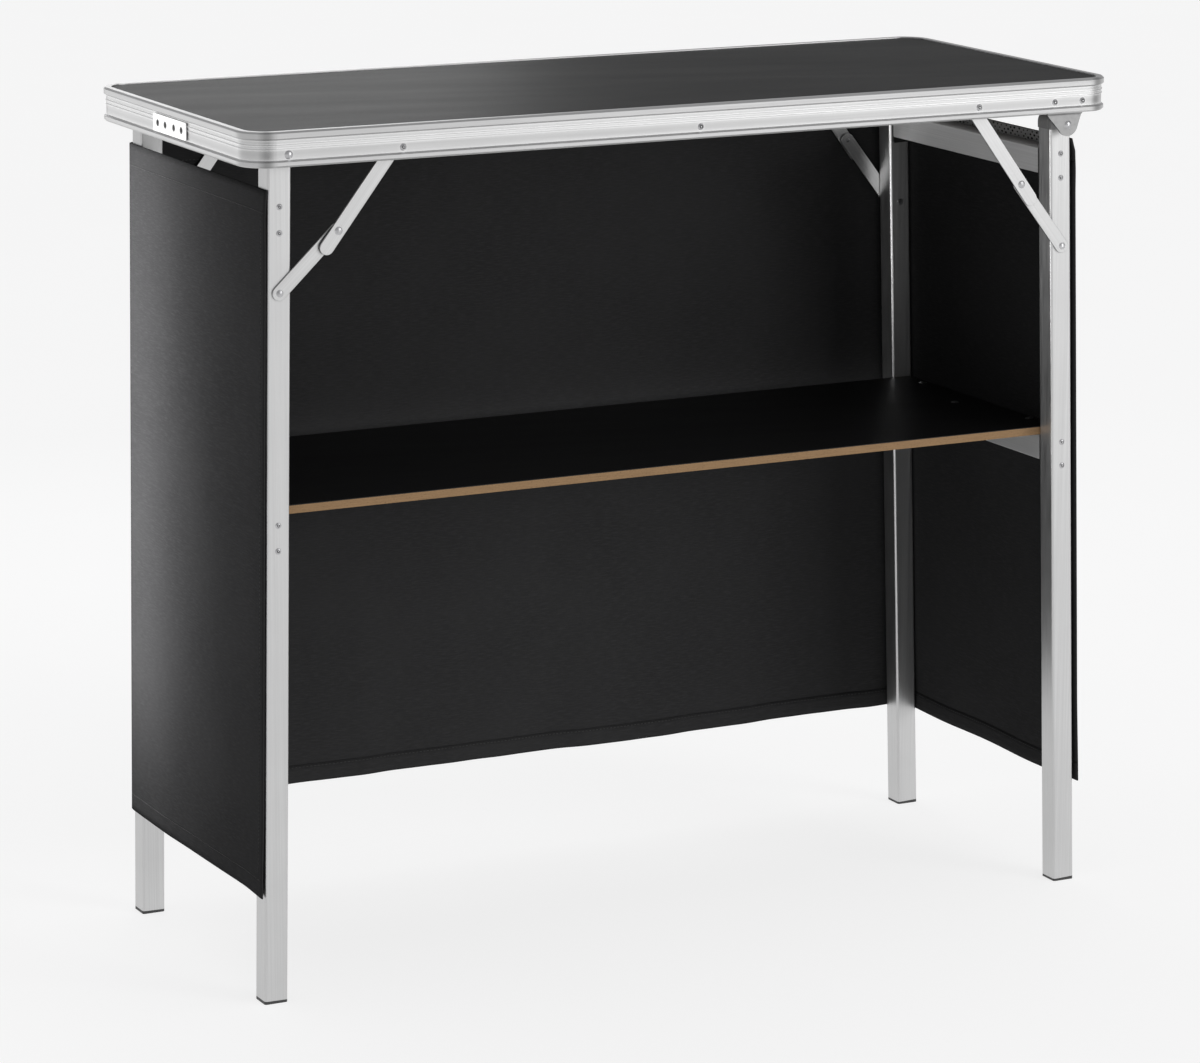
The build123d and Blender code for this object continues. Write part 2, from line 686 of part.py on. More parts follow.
# Webbing tabs that hang the long panel from the inside of the rim.
tab_places = [-395.0, -120.0, 120.0, 395.0]
tab_width, tab_thickness = 38.0, 1.2
tab_low_y = skirt_back_y + skirt_thickness + tab_thickness / 2 + 0.1
tab_high_y = rim_wall_y - tab_thickness / 2 - 0.05
tab_bend_z = sum(skirt_top_z.values()) / 2
with BuildPart() as skirt_tabs:
    for x in tab_places:
        with BuildSketch(Plane.YZ.offset(x - tab_width / 2)):
            with BuildLine():
                Polyline(
                    (tab_low_y, tab_bend_z - 28),
                    (tab_low_y, tab_bend_z + 4),
                    (tab_high_y, rim_bottom_z - 3),
                    (tab_high_y, rim_rivet_z + 8),
                )
            trace(line_width=tab_thickness)
        extrude(amount=tab_width)
save(skirt_tabs, "skirt_tabs")
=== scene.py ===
from math import atan2, ceil, cos, hypot, pi, radians, sin

import bpy
import numpy as np
from mathutils import Matrix, Vector


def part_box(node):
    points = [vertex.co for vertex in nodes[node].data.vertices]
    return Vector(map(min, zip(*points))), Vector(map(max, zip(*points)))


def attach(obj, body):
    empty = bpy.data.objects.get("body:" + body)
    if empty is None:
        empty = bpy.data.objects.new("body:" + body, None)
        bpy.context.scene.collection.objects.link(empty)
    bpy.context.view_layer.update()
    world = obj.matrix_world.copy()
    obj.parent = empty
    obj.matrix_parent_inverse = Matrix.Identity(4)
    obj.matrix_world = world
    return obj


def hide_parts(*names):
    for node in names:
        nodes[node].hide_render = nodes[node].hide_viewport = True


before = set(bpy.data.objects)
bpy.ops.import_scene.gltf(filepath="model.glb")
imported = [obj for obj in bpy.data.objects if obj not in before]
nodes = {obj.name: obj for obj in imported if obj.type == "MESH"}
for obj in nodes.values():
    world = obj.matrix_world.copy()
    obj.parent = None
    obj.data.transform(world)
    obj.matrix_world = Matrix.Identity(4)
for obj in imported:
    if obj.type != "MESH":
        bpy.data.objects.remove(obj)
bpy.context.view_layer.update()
MM = 0.001

# ---- camera ------------------------------------------------------------------
YAW, PITCH, ROLL = radians(27.037), radians(12.989), radians(0.180)
CAMERA_PLACE = (-2.1808, -4.2548, 1.5076)
SENSOR_WIDTH, FOCAL_LENGTH = 36.0, 137.55          # millimetres
forward = Vector((sin(YAW) * cos(PITCH), cos(YAW) * cos(PITCH), -sin(PITCH)))
level_right = Vector((cos(YAW), -sin(YAW), 0.0))
level_up = level_right.cross(forward)
right = cos(ROLL) * level_right + sin(ROLL) * level_up
up = cos(ROLL) * level_up - sin(ROLL) * level_right
camera_data = bpy.data.cameras.new("camera")
camera_data.sensor_width = SENSOR_WIDTH
camera_data.lens = FOCAL_LENGTH
camera = bpy.data.objects.new("camera", camera_data)
camera.matrix_world = Matrix((
    (right.x, up.x, -forward.x, CAMERA_PLACE[0]),
    (right.y, up.y, -forward.y, CAMERA_PLACE[1]),
    (right.z, up.z, -forward.z, CAMERA_PLACE[2]),
    (0, 0, 0, 1),
))
bpy.context.scene.collection.objects.link(camera)
bpy.context.scene.camera = camera


# ---- materials ---------------------------------------------------------------
class Graph:
    """A material's node tree, with short calls for the nodes used here."""

    def __init__(self, name):
        self.material = bpy.data.materials.new(name)
        self.material.use_nodes = True
        self.tree = self.material.node_tree
        self.shader = self.tree.nodes["Principled BSDF"]
        self.place = self.add("ShaderNodeTexCoord").outputs["Object"]

    @classmethod
    def onto(cls, material):
        """The same calls for a material that is already there."""
        g = cls.__new__(cls)
        g.material, g.tree = material, material.node_tree
        g.shader = g.tree.nodes["Principled BSDF"]
        g.place = g.add("ShaderNodeTexCoord").outputs["Object"]
        return g

    def add(self, kind, **settings):
        node = self.tree.nodes.new(kind)
        for key, value in settings.items():
            setattr(node, key, value)
        return node

    def feed(self, socket, value):
        """Links an output to a socket, or sets a plain value on it."""
        if isinstance(value, bpy.types.NodeSocket):
            self.tree.links.new(value, socket)
        else:
            socket.default_value = value

    def stretched(self, scale, turn=(0, 0, 0)):
        """The place, turned and then scaled along each axis."""
        place = self.place
        if any(turn):
            spin = self.add("ShaderNodeMapping")
            spin.inputs["Rotation"].default_value = turn
            self.feed(spin.inputs["Vector"], place)
            place = spin.outputs["Vector"]
        size = self.add("ShaderNodeMapping")
        size.inputs["Scale"].default_value = scale
        self.feed(size.inputs["Vector"], place)
        return size.outputs["Vector"]

    def noise(self, scale, detail=3.0, rough=0.5, turn=(0, 0, 0), distortion=0.0):
        """Noise of so many waves a metre along each axis."""
        scale = (scale,) * 3 if isinstance(scale, (int, float)) else scale
        node = self.add("ShaderNodeTexNoise")
        self.feed(node.inputs["Vector"], self.stretched(scale, turn))
        settings = {"Scale": 1.0, "Detail": detail, "Roughness": rough, "Distortion": distortion}
        for key, value in settings.items():
            node.inputs[key].default_value = value
        return node.outputs["Fac"]

    def cells(self, scale):
        """Distance to the middle of the nearest cell, with so many cells a metre."""
        node = self.add("ShaderNodeTexVoronoi")
        self.feed(node.inputs["Vector"], self.stretched((scale,) * 3))
        node.inputs["Scale"].default_value = 1.0
        return node.outputs["Distance"]

    def ramp(self, value, low, high, start, end):
        """A value's span from low to high, spread over start to end and held there."""
        node = self.add("ShaderNodeMapRange", clamp=True)
        self.feed(node.inputs["Value"], value)
        for key, number in (("From Min", low), ("From Max", high), ("To Min", start), ("To Max", end)):
            node.inputs[key].default_value = number
        return node.outputs["Result"]

    def maths(self, operation, *values):
        node = self.add("ShaderNodeMath", operation=operation)
        for socket, value in zip(node.inputs, values):
            self.feed(socket, value)
        return node.outputs["Value"]

    def mix(self, share, first, second):
        """The first colour, with a share of the second."""
        node = self.add("ShaderNodeMix", data_type="RGBA")
        self.feed(node.inputs["Factor"], share)
        for socket, value in ((node.inputs[6], first), (node.inputs[7], second)):
            self.feed(socket, (*value, 1.0) if isinstance(value, tuple) else value)
        return node.outputs[2]

    def bump(self, height, depth, under=None):
        """A bump so many metres deep over the full range of height."""
        node = self.add("ShaderNodeBump")
        node.inputs["Distance"].default_value = depth
        self.feed(node.inputs["Height"], height)
        if under is not None:
            self.feed(node.inputs["Normal"], under)
        return node.outputs["Normal"]

    def crevice(self, reach):
        """1 in the open, falling towards 0 where another surface is close."""
        node = self.add("ShaderNodeAmbientOcclusion", samples=4)
        node.inputs["Distance"].default_value = reach
        return node.outputs["AO"]

    def finish(self, **sockets):
        """Feeds the shader's sockets, whose names are given in small letters with underscores."""
        for key, value in sockets.items():
            self.feed(self.shader.inputs[key.replace("_", " ").title().replace("Ior", "IOR")], value)
        return self.material


def shade(tone, share):
    """A lighter or darker tone, by a share of it."""
    return tuple(min(1.0, c * share) for c in tone)


LINE_DEPTH, FINE_LINE_DEPTH = 4.8e-5, 3e-5


def extruded(name, tone, rough, streaks, turn=(0, 0, 0), blotch=0.05, crevice_shade=0.35, metal=1.0):
    """Satin extruded or rolled aluminium, with die lines along the run and painted shade in its crevices."""
    g = Graph(name)
    lines = g.noise(streaks, detail=4.0, rough=0.65, turn=turn)
    fine = g.noise(tuple(3.1 * s for s in streaks), detail=2.0, rough=0.6, turn=turn)
    clouds = g.noise(14.0, detail=3.0)
    rubs = g.noise(tuple(0.45 * s for s in streaks), detail=5.0, rough=0.8, turn=turn, distortion=0.4)
    scuffs = g.ramp(rubs, 0.60, 0.72, 0.0, 1.0)
    dark, light = shade(tone, 1 - blotch * 2.2), shade(tone, 1 + blotch)
    colour = g.mix(g.ramp(lines, 0.3, 0.7, 0.0, 1.0), dark, light)
    colour = g.mix(g.ramp(clouds, 0.35, 0.75, 0.0, 0.35), colour, shade(tone, 0.86))
    # Painted shade: the colour darkens towards a dark grey where another surface is close, in crevices and
    # between parts.
    crevice_shade_mask = g.ramp(g.crevice(0.006), 0.35, 0.85, crevice_shade, 0.0)
    colour = g.mix(crevice_shade_mask, colour, shade(tone, 0.28))
    satin = g.ramp(lines, 0.25, 0.75, rough - 0.07, rough + 0.07)
    roughness = g.maths("ADD", satin, g.maths("MULTIPLY", scuffs, 0.12))
    normal = g.bump(fine, FINE_LINE_DEPTH, g.bump(lines, LINE_DEPTH))
    return g.finish(base_color=colour, metallic=metal, roughness=roughness, normal=normal)


def zinc(name, tone, rough):
    """Plated rivets: fine hammer marks, a dull bloom and painted shade round the seat."""
    g = Graph(name)
    bloom = g.noise(260.0, detail=3.0, rough=0.6)
    spots = g.cells(900.0)
    colour = g.mix(g.ramp(bloom, 0.35, 0.7, 0.0, 1.0), tone, shade(tone, 0.72))
    # Painted shade: near black where another surface is close, round the seat of each head.
    colour = g.mix(g.ramp(g.crevice(0.003), 0.3, 0.8, 0.6, 0.0), colour, (0.03, 0.03, 0.03))
    roughness = g.ramp(bloom, 0.3, 0.7, rough - 0.06, rough + 0.12)
    return g.finish(base_color=colour, metallic=1.0, roughness=roughness, normal=g.bump(spots, 2.5e-5))


def laminate(name, tone, rough, gloss):
    """Pebbled satin laminate with wipe marks and hairline scratches."""
    g = Graph(name)
    pebble = g.noise(950.0, detail=2.0, rough=0.55)
    grain = g.cells(1500.0)
    wipes = g.noise((3.0, 16.0, 16.0), detail=5.0, rough=0.62, turn=(0, 0, 0.22), distortion=0.5)
    hair = g.noise((7.0, 900.0, 900.0), detail=3.0, rough=0.7, turn=(0, 0, 0.5))
    scratch = g.ramp(hair, 0.74, 0.78, 0.0, 1.0)
    dust = g.ramp(g.cells(420.0), 0.0, 0.09, 1.0, 0.0)
    colour = g.mix(g.ramp(wipes, 0.35, 0.75, 0.0, 0.5), tone, shade(tone, 1.25))
    colour = g.mix(g.maths("MULTIPLY", dust, 0.18), colour, (0.10, 0.10, 0.10))
    colour = g.mix(g.maths("MULTIPLY", scratch, 0.10), colour, (0.09, 0.09, 0.09))
    roughness = g.ramp(wipes, 0.3, 0.75, rough - 0.02, rough + 0.03)
    normal = g.bump(grain, 3e-5, g.bump(pebble, 7e-5))
    return g.finish(base_color=colour, roughness=roughness, specular_ior_level=gloss, normal=normal)


def fibreboard(name, tone, face):
    """Sawn board edge with fibre layers, resin flecks and saw marks; flat faces take another colour."""
    g = Graph(name)
    layers = g.noise((40.0, 40.0, 1300.0), detail=4.0, rough=0.65)
    fibres = g.noise((260.0, 260.0, 1700.0), detail=3.0, rough=0.7)
    flecks = g.ramp(g.noise((520.0, 520.0, 1500.0), detail=2.0), 0.60, 0.72, 0.0, 0.75)
    saw = g.noise((900.0, 900.0, 30.0), detail=2.0)
    colour = g.mix(g.ramp(layers, 0.3, 0.7, 0.0, 1.0), tone, shade(tone, 0.72))
    colour = g.mix(g.ramp(fibres, 0.45, 0.75, 0.0, 0.5), colour, shade(tone, 1.25))
    colour = g.mix(flecks, colour, shade(tone, 0.38))
    facing = g.add("ShaderNodeSeparateXYZ")
    g.feed(facing.inputs[0], g.add("ShaderNodeNewGeometry").outputs["Normal"])
    flat = g.ramp(g.maths("ABSOLUTE", facing.outputs["Z"]), 0.5, 0.9, 0.0, 1.0)
    colour = g.mix(flat, colour, face)
    roughness = g.ramp(fibres, 0.3, 0.7, 0.72, 0.92)
    normal = g.bump(saw, 6e-5, g.bump(fibres, 2.2e-4))
    return g.finish(base_color=colour, roughness=roughness, specular_ior_level=0.25, normal=normal)


def moulded(name, tone, rough):
    """Moulded plastic with a fine eroded skin and slight scuffs."""
    g = Graph(name)
    skin = g.noise(2400.0, detail=2.0)
    scuff = g.ramp(g.noise((220.0, 220.0, 60.0), detail=5.0, rough=0.75), 0.58, 0.72, 0.0, 1.0)
    colour = g.mix(g.maths("MULTIPLY", scuff, 0.4), tone, shade(tone, 3.0))
    roughness = g.ramp(scuff, 0.0, 1.0, rough, rough + 0.2)
    normal = g.bump(skin, 6e-5)
    return g.finish(base_color=colour, roughness=roughness, specular_ior_level=0.45, normal=normal)


CLOTH_ROUGHNESS = 0.82


def woven(name, tone, pitch, sheen, depth, gloss=0.25, worn=2.2):
    """Plain weave over upright panels: u is X plus Y, which runs round the corners, and v is Z."""
    g = Graph(name)
    xyz = g.add("ShaderNodeSeparateXYZ")
    g.feed(xyz.inputs[0], g.place)
    u = g.maths("ADD", xyz.outputs["X"], xyz.outputs["Y"])
    waves = 2 * pi / pitch
    across = g.maths("SINE", g.maths("MULTIPLY", u, waves))
    along = g.maths("SINE", g.maths("MULTIPLY", xyz.outputs["Z"], waves))
    weave = g.maths("MULTIPLY", across, along)
    slub = g.noise((90.0, 90.0, 900.0), detail=3.0, rough=0.6)
    slub_up = g.noise((900.0, 900.0, 90.0), detail=3.0, rough=0.6)
    mottle = g.noise(9.0, detail=5.0, rough=0.6)
    lint = g.ramp(g.cells(300.0), 0.0, 0.07, 1.0, 0.0)
    colour = g.mix(g.ramp(weave, -1.0, 1.0, 0.0, 1.0), shade(tone, 0.78), shade(tone, 1.2))
    colour = g.mix(g.ramp(slub, 0.45, 0.75, 0.0, 0.35), colour, shade(tone, worn))
    colour = g.mix(g.ramp(mottle, 0.35, 0.75, 0.0, 0.45), colour, shade(tone, 1.35))
    colour = g.mix(g.maths("MULTIPLY", lint, 0.10), colour, (0.2, 0.2, 0.2))
    height = g.maths("ADD", weave, g.maths("ADD", slub, slub_up))
    roughness = g.ramp(mottle, 0.3, 0.75, CLOTH_ROUGHNESS - 0.06, CLOTH_ROUGHNESS + 0.06)
    soft = g.bump(g.noise(22.0, detail=3.0), 4e-4)
    return g.finish(base_color=colour, roughness=roughness, specular_ior_level=gloss,
                    sheen_weight=sheen, sheen_roughness=0.45, normal=g.bump(height, depth, soft))


LINES_X, LINES_Y, LINES_Z = (3.0, 700.0, 700.0), (700.0, 3.0, 700.0), (700.0, 700.0, 3.0)
RIM_LINES, SPECKS = (2.5, 2.5, 300.0), (160.0, 160.0, 160.0)
RIM_CORNER = 31 * MM


def rim_metal(material):
    """Adds the rim's faint rolled lines, painted light in its grooves and a painted dark stripe at each bent
    corner.
    """
    g = Graph.onto(material)
    xyz = g.add("ShaderNodeSeparateXYZ")
    g.feed(xyz.inputs[0], g.place)
    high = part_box("top_rim")[1]
    lines = g.noise((0.6, 0.6, 190.0), detail=1.0)
    lines = g.ramp(lines, 0.42, 0.60, 0.0, 0.12)
    # Painted reflection: a dark stripe across each bent corner of the rim, standing in for a dark reflection
    # on the bend.
    reach = [g.maths("SUBTRACT", g.maths("ABSOLUTE", xyz.outputs[axis]), high[i] - RIM_CORNER)
             for i, axis in enumerate("XY")]
    angle = g.maths("ARCTAN2", reach[0], reach[1])
    painted_bend_stripe = g.maths("MULTIPLY", g.ramp(angle, 0.08, 0.28, 0.0, 1.0), g.ramp(angle, 0.40, 0.66, 1.0, 0.0))
    both = [g.maths("GREATER_THAN", value, 0.0) for value in reach]
    painted_bend_stripe = g.maths("MULTIPLY", painted_bend_stripe, g.maths("MULTIPLY", *both))
    old = g.shader.inputs["Base Color"].links[0].from_socket
    colour = g.mix(lines, old, (0.40, 0.40, 0.40))
    colour = g.mix(g.maths("MULTIPLY", painted_bend_stripe, 0.75), colour, (0.25, 0.25, 0.25))
    # Painted light: the colour turns near white where another surface is close, lifting the shade in the
    # grooves.
    colour = g.mix(g.ramp(g.crevice(0.004), 0.60, 0.97, 1.0, 0.0), colour, (0.90, 0.90, 0.90))
    return g.finish(base_color=colour)


# Each extruded finish gets its own share of painted shade in its crevices.
look = {
    "rim_aluminium": rim_metal(extruded("rim_aluminium", (0.55, 0.55, 0.55), 0.40, RIM_LINES, crevice_shade=0.0)),
    "tube_aluminium": extruded("tube_aluminium", (0.61, 0.61, 0.61), 0.38, LINES_Z, crevice_shade=0.12),
    "rail_aluminium": extruded("rail_aluminium", (0.66, 0.66, 0.66), 0.34, LINES_Y, crevice_shade=0.1, metal=0.6),
    "plate_metal": extruded("plate_metal", (0.60, 0.60, 0.60), 0.40, SPECKS, blotch=0.07),
    "joint_plate": extruded("joint_plate_metal", (0.88, 0.88, 0.88), 0.32, (90.0, 12.0, 160.0),
                            blotch=0.03, crevice_shade=0.1),
    "hinge_plate": extruded("hinge_plate_metal", (0.34, 0.34, 0.34), 0.42, SPECKS, blotch=0.07),
    "rivet_steel": zinc("rivet_steel", (0.55, 0.55, 0.56), 0.32),
    "dark_rivet": zinc("dark_rivet", (0.20, 0.20, 0.20), 0.34),
    "mandrel": zinc("mandrel_steel", (0.09, 0.09, 0.09), 0.45),
    "top_laminate": laminate("black_laminate", (0.008, 0.008, 0.0082), 0.40, 0.025),
    "shelf_laminate": laminate("shelf_laminate", (0.006, 0.006, 0.0063), 0.40, 0.25),
    "shelf_edge": fibreboard("shelf_fibreboard", (0.33, 0.205, 0.105), face=(0.012, 0.012, 0.012)),
    "top_board": fibreboard("top_fibreboard", (0.30, 0.19, 0.10), face=(0.085, 0.075, 0.065)),
    "black_plastic": moulded("black_plastic", (0.014, 0.014, 0.014), 0.46),
    "foot_plastic": moulded("foot_plastic", (0.040, 0.040, 0.040), 0.5),
    "grey_plastic": moulded("grey_plastic", (0.30, 0.30, 0.30), 0.42),
    "hook_tape": woven("hook_tape", (0.020, 0.020, 0.020), 1.6 * MM, 0.1, 5e-4),
    "loop_tape": woven("loop_tape", (0.55, 0.55, 0.55), 1.6 * MM, 0.1, 3e-4, worn=1.3),
    "tufts": woven("loop_tufts", (0.012, 0.012, 0.012), 0.7 * MM, 0.1, 2e-4),
    "thread": woven("thread", (0.040, 0.040, 0.040), 0.5 * MM, 0.05, 1e-4, worn=1.4),
    "tab_thread": woven("tab_thread", (0.075, 0.075, 0.075), 0.5 * MM, 0.1, 1e-4, worn=1.4),
    "webbing": woven("webbing", (0.020, 0.020, 0.020), 2.2 * MM, 0.25, 3.5e-4),
    "skirt_cloth": woven("skirt_cloth", (0.024, 0.024, 0.0245), 0.9 * MM, 0.0, 9e-5, gloss=0.0),
}


def link_material(node):
    """Rolled strip with its lines along the link, from the link's own direction."""
    points = np.array([v.co for v in nodes[node].data.vertices])
    spread = points - points.mean(0)
    way = np.linalg.svd(spread, full_matrices=False)[2][0]
    slope = np.arctan2(way[2], way[0])
    return extruded(node + "_metal", (0.62, 0.62, 0.62), 0.34, LINES_X, turn=(0, slope, 0), blotch=0.06)


def dress(node):
    """The material of a CAD node, from its name."""
    if "_link_" in node:
        return link_material(node)
    if node == "top_rim":
        return look["rim_aluminium"]
    if node == "rim_joint_plate":
        return look["joint_plate"]
    if node == "rim_joint_rivets":
        return look["dark_rivet"]
    if node == "cross_stay":
        return look["plate_metal"]
    if "hinge_plate" in node:
        return look["hinge_plate"]
    if "leg_plug" in node:
        return look["grey_plastic"]
    if "rivet" in node or node in ("shelf_pins", "shelf_screws"):
        return look["rivet_steel"]
    if node in ("top_laminate", "shelf_laminate", "top_board"):
        return look[node]
    if node in ("shelf_board", "shelf_cleats"):
        return look["shelf_edge"]
    if "foot" in node:
        return look["foot_plastic"]
    if "spacer" in node or "plug" in node:
        return look["black_plastic"]
    if "hook_tape" in node:
        return look["hook_tape"]
    if node.endswith("_rail"):
        return look["rail_aluminium"]
    return look["tube_aluminium"]


for name, node in nodes.items():
    finish = dress(name)
    for slot in node.material_slots:
        slot.material = finish
    if not node.material_slots:
        node.data.materials.append(finish)


# ---- mesh helpers ------------------------------------------------------------
def piece(name, points, faces, material):
    """A smooth-shaded mesh object."""
    mesh = bpy.data.meshes.new(name)
    mesh.from_pydata([tuple(p) for p in points], [], [tuple(f) for f in faces])
    mesh.validate()
    mesh.update()
    mesh.polygons.foreach_set("use_smooth", [True] * len(mesh.polygons))
    mesh.materials.append(material)
    made = bpy.data.objects.new(name, mesh)
    bpy.context.scene.collection.objects.link(made)
    return made


def islands(node):
    """(lowest, highest corner) of each separate solid in a CAD node."""
    mesh = nodes[node].data
    points = np.array([v.co for v in mesh.vertices])
    keys = {}
    merged = [keys.setdefault(tuple(np.round(p, 6)), len(keys)) for p in points]
    parent = list(range(len(keys)))

    def root(i):
        while parent[i] != i:
            parent[i] = parent[parent[i]]
            i = parent[i]
        return i

    for edge in mesh.edges:
        a, b = (root(merged[v]) for v in edge.vertices)
        parent[a] = b
    groups = {}
    for i, m in enumerate(merged):
        groups.setdefault(root(m), []).append(points[i])
    boxes = [(Vector(np.min(g, 0)), Vector(np.max(g, 0))) for g in groups.values()]
    return sorted(boxes, key=lambda b: tuple(round(c, 4) for c in b[0]))


# ---- skirt -------------------------------------------------------------------
CLOTH_STEP = 7 * MM
CLOTH_THICKNESS = 0.8 * MM
HEM_THICKNESS = 0.7 * MM
CORNER_RADIUS = 9 * MM
# How far the cloth stands out of flat: between the legs, at the low hem, on the legs and at the front edges.
BOW, HEM_WAVE, HELD_OUT, FLARE = 2.6 * MM, 0.7 * MM, 0.35 * MM, {"left": 1.2 * MM, "right": 3.4 * MM}
# How far the top edge sinks between two tabs, and how uneven the low edge is.
SAG, UNEVEN = 2.6 * MM, 0.8 * MM
# How far creases reach down from a tab and from the place where the cloth is held on a leg.
TAB_FAN, LEG_FAN, HELD_Y = 300 * MM, 220 * MM, 145 * MM

# The cloth lies in the middle of the CAD's walls, in one run round the left end, the back and the right end.
left_low, left_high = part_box("skirt_left")
right_low, right_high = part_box("skirt_right")
back_low, back_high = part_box("skirt_back")
SKIRT_TOP, SKIRT_BOTTOM = left_high.z, left_low.z
SKIRT_DROP, TOP_FALL = SKIRT_TOP - SKIRT_BOTTOM, left_high.z - right_high.z
SOLID_WALL = back_high.y - back_low.y
FRONT_Y, BACK_Y = left_low.y, back_low.y + SOLID_WALL / 2
TOP_X = (left_high.x - SOLID_WALL / 2, right_low.x + SOLID_WALL / 2)
LOW_X = (left_low.x + SOLID_WALL / 2, right_high.x - SOLID_WALL / 2)
SIDE_RUN = BACK_Y - CORNER_RADIUS - FRONT_Y
ARC_RUN = CORNER_RADIUS * pi / 2
BACK_RUN = TOP_X[1] - TOP_X[0] - 2 * CORNER_RADIUS
ROUND = 2 * (SIDE_RUN + ARC_RUN) + BACK_RUN
BLEND_RUN = 60 * MM        # over which the back panel's folds set in beside a corner
tab_boxes = islands("skirt_tabs")
tab_middles = [(low.x + high.x) / 2 for low, high in tab_boxes]


def skirt_plan(run, drop):
    """(x, y) of the flat skirt and its way out: run goes round the panels, drop is 0 to 1 downwards."""
    left_x, right_x = (top + (low - top) * drop for top, low in zip(TOP_X, LOW_X))
    r = CORNER_RADIUS
    if run < SIDE_RUN:
        return left_x, FRONT_Y + run, -1.0, 0.0
    run -= SIDE_RUN
    if run < ARC_RUN:
        a = run / r
        return left_x + r - r * cos(a), BACK_Y - r + r * sin(a), -cos(a), sin(a)
    run -= ARC_RUN
    if run < BACK_RUN:
        return left_x + r + run / BACK_RUN * (right_x - left_x - 2 * r), BACK_Y, 0.0, 1.0
    run -= BACK_RUN
    if run < ARC_RUN:
        a = run / r
        return right_x - r + r * sin(a), BACK_Y - r + r * cos(a), sin(a), cos(a)
    return right_x, BACK_Y - r - (run - ARC_RUN), 1.0, 0.0


def smooth(value, low, high):
    """0 below low, 1 above high, and an even S between."""
    t = min(1.0, max(0.0, (value - low) / (high - low)))
    return t * t * (3 - 2 * t)


def creases(across, below, spread):
    """Height, from -1 to 1, of shallow creases that fan out below a held point."""
    reach = hypot(across, below)
    fade = smooth(reach, 0.0, 0.05) * (1 - smooth(reach, 0.05, spread))
    return sin(9 * atan2(across, below + 0.01) + 1.3) * fade


def back_fold(x, drop):
    """How far the back panel hangs out of flat, in metres."""
    grow = (0.5 + 2.9 * drop**1.3) * MM
    wave = 0.50 * sin(20.3 * x + 0.8 + 0.9 * drop) + 0.32 * sin(37.0 * x + 2.0 - 1.3 * drop)
    wave += 0.20 * sin(66.0 * x + 4.1 + 2.0 * drop) + 0.10 * sin(118.0 * x - 3.0 * drop)
    fan = sum(creases(x - middle, drop * SKIRT_DROP, TAB_FAN) for middle in tab_middles)
    return grow * wave + 0.8 * MM * fan + 0.25 * MM * sin(17 * drop + 5 * x) * sin(9 * x)


def side_fold(y, drop, side):
    """The same for an end panel, which lies on the legs and bows out a little between them."""
    below = drop * SKIRT_DROP
    between = smooth(y, -0.150, -0.04) * (1 - smooth(y, 0.05, 0.150))
    ripple = 0.55 + 0.45 * sin(27 * y + 6 * drop + (2.0 if side == "right" else 0.0))
    bow = BOW * between * ripple * smooth(drop, 0.05, 0.5)
    fan = creases(y + HELD_Y, below, LEG_FAN) + creases(HELD_Y - y, below, LEG_FAN)
    hem = HEM_WAVE * (1 + sin(38 * y + (1.0 if side == "right" else 3.0))) * smooth(drop, 0.86, 1.0)
    flare = FLARE[side] * (1 - smooth(y, FRONT_Y, FRONT_Y + 0.055))
    held = HELD_OUT * max(0.9, fan + 1) * smooth(drop, 0.0, 0.03)
    return bow + held + hem + flare * smooth(drop, 0.0, 0.02)


def cloth_point(run, down, out=0.0):
    """A point of the hanging cloth, down from its top edge and out from its middle layer, all in metres."""
    drop = down / SKIRT_DROP
    x, y, out_x, out_y = skirt_plan(run, drop)
    back = smooth(run, SIDE_RUN, SIDE_RUN + BLEND_RUN)
    back *= 1 - smooth(run, ROUND - SIDE_RUN - BLEND_RUN, ROUND - SIDE_RUN)
    if SIDE_RUN < run < SIDE_RUN + ARC_RUN or ROUND - SIDE_RUN - ARC_RUN < run < ROUND - SIDE_RUN:
        fold = HELD_OUT
    elif back > 0:
        fold = back * back_fold(x, drop)
    else:
        fold = side_fold(y, drop, "right" if run > ROUND / 2 else "left")
    gap = min(abs(x - middle) for middle in tab_middles)
    sag = SAG * back * smooth(gap, 0.018, 0.12) * (1 - drop)
    edge = UNEVEN * sin(11 * run + 0.6) * drop**3
    fall = TOP_FALL * (1 - drop) * min(1.0, max(0.0, (run - SIDE_RUN) / (ROUND - 2 * SIDE_RUN)))
    return x + out_x * (fold + out), y + out_y * (fold + out), SKIRT_TOP - down - sag - fall + edge


def grid_faces(rows, columns):
    """Quads of a grid of (rows + 1) by (columns + 1) points, facing out of the skirt."""
    start = [i * (columns + 1) + j for i in range(rows) for j in range(columns)]
    return [(a, a + columns + 1, a + columns + 2, a + 1) for a in start]


def thicken(made, thickness):
    """Gives a sheet its thickness, evenly on both sides."""
    modifier = made.modifiers.new("thickness", "SOLIDIFY")
    modifier.thickness = thickness
    modifier.offset = 0


def belongs(made, slot, *replaced):
    """The piece rides on the table top and may stand for CAD nodes, which it hides; the slot is not used."""
    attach(made, "table_top")
    if replaced:
        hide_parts(*replaced)
    return made


def cloth_strip(name, runs, downs, out, thickness, material):
    """A strip of cloth that follows the skirt over a span of run and a span of down."""
    wide, deep = runs[1] - runs[0], downs[1] - downs[0]
    columns, rows = ceil(wide / CLOTH_STEP), ceil(deep / CLOTH_STEP)
    points = [
        cloth_point(runs[0] + wide * j / columns, downs[0] + deep * i / rows, out)
        for i in range(rows + 1)
        for j in range(columns + 1)
    ]
    made = piece(name, points, grid_faces(rows, columns), material)
    thicken(made, thickness)
    return made


STITCH_PITCH, STITCH_LENGTH, THREAD = 4.2 * MM, 3.1 * MM, 0.32 * MM
# Height of a stitch over the cloth along its length, in threads.
STITCH_ARCH = ((0.0, -0.9), (0.2, 0.5), (0.5, 0.8), (0.8, 0.5), (1.0, -0.9))


